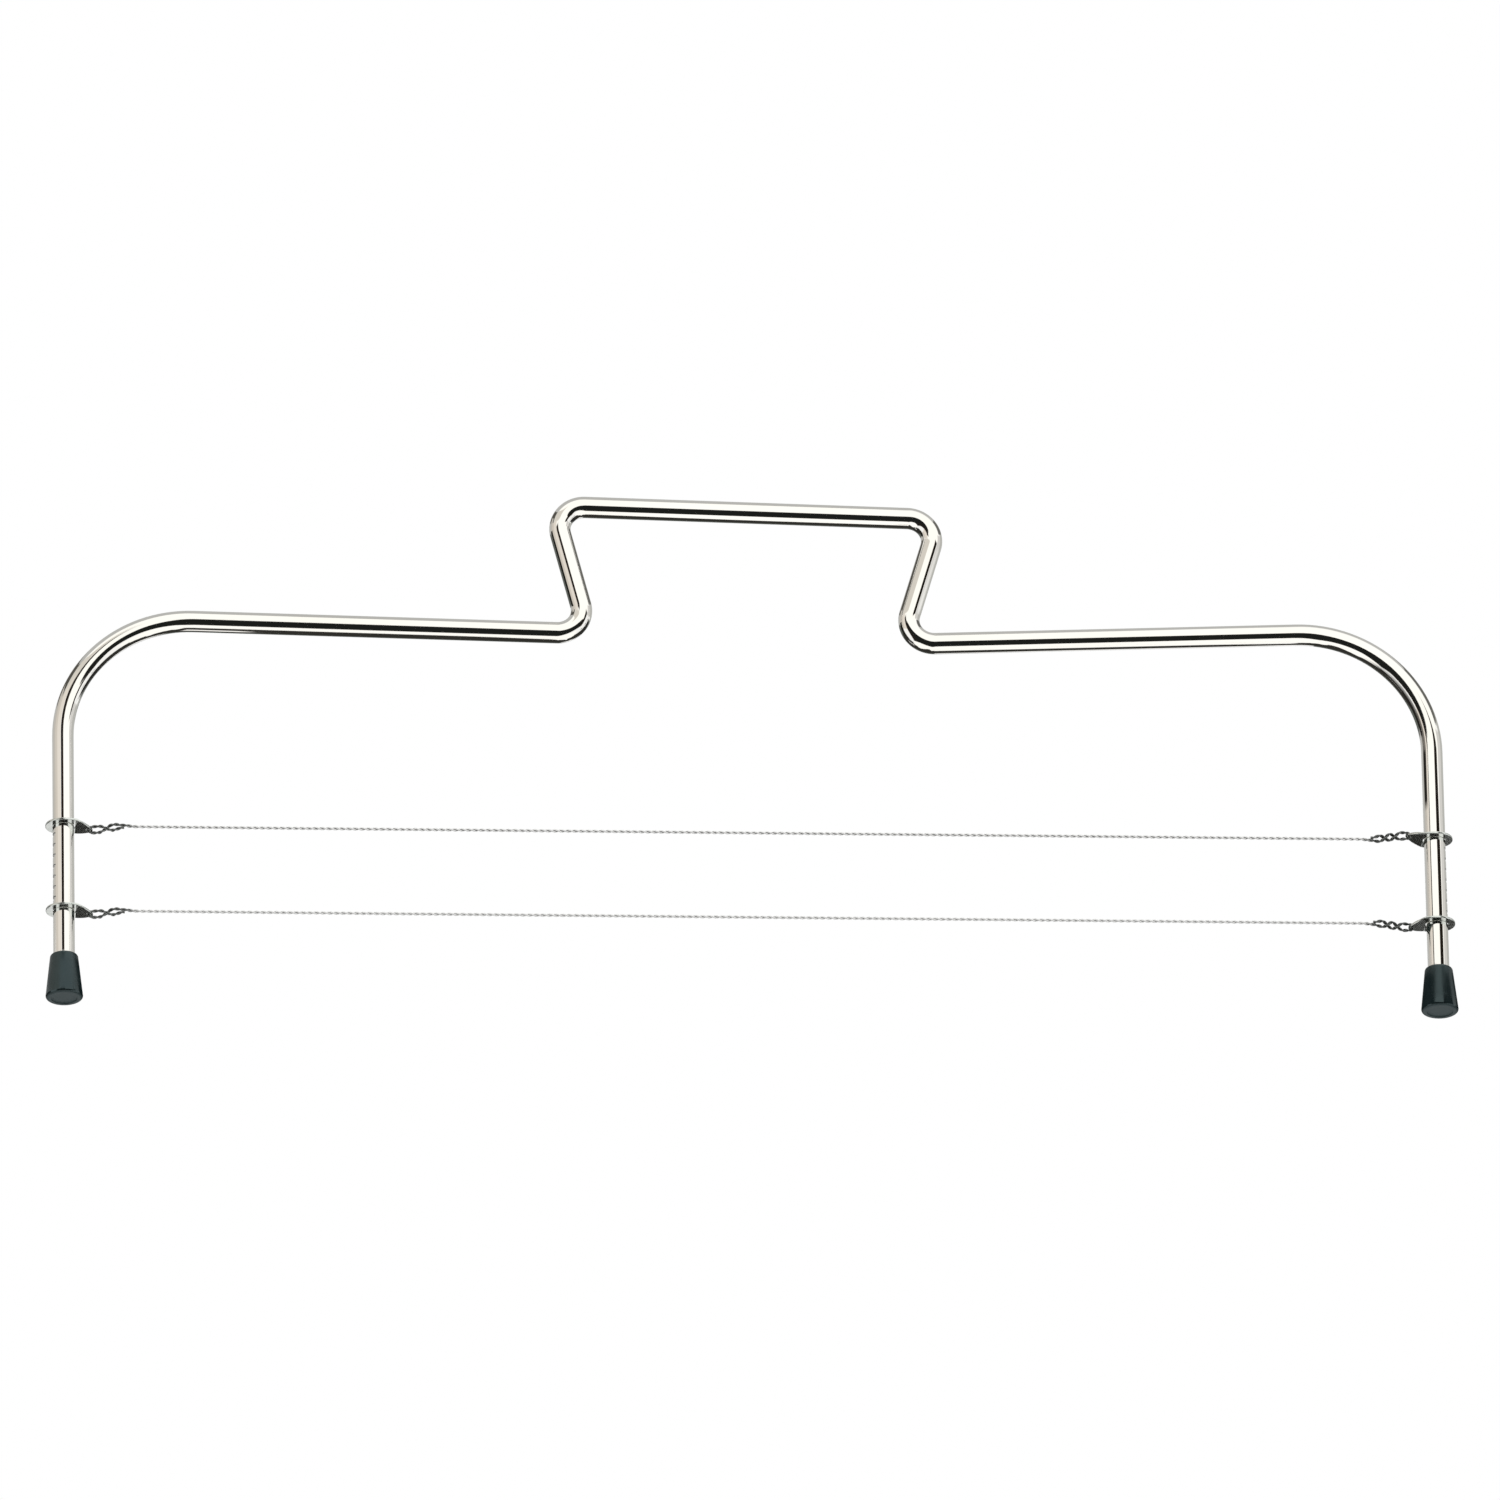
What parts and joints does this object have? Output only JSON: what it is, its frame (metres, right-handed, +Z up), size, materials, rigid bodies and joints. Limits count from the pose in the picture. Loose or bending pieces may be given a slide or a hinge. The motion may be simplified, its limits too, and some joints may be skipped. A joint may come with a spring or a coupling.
{
  "type": "cake leveler",
  "caption": "Cake leveler: a bent steel rod with a raised handle, taut twisted cutting wires on plates that move along its notched legs, and rubber feet.",
  "frame": {"origin": "on the surface that the feet stand on, midway between the two feet", "axes": "+X along the cutting wires towards the right leg, +Y away from the viewer across the flat frame, +Z up along the legs towards the handle"},
  "size_m": [0.3288, 0.0086, 0.1302],
  "materials": {
    "polished_rod": "polished, bright plated",
    "plate_steel": "stamped sheet, plated, a little dull",
    "cutting_wire": "bare drawn wire",
    "foot_rubber": "moulded, matt"
  },
  "bodies": {
    "frame": {"frame_rod": "polished_rod", "left_foot": "foot_rubber", "right_foot": "foot_rubber"},
    "upper_cutter": {"upper_left_plate": "plate_steel", "upper_right_plate": "plate_steel", "upper_wire": "cutting_wire"},
    "lower_cutter": {"lower_left_plate": "plate_steel", "lower_right_plate": "plate_steel", "lower_wire": "cutting_wire"}
  },
  "joints": [
    {"name": "upper_wire_height", "type": "slide", "parent": "frame", "child": "upper_cutter", "axis": [0, 0, 1], "range_m": [-0.0081, 0]},
    {"name": "lower_wire_height", "type": "slide", "parent": "frame", "child": "lower_cutter", "axis": [0, 0, 1], "range_m": [0, 0.0108]}
  ]
}
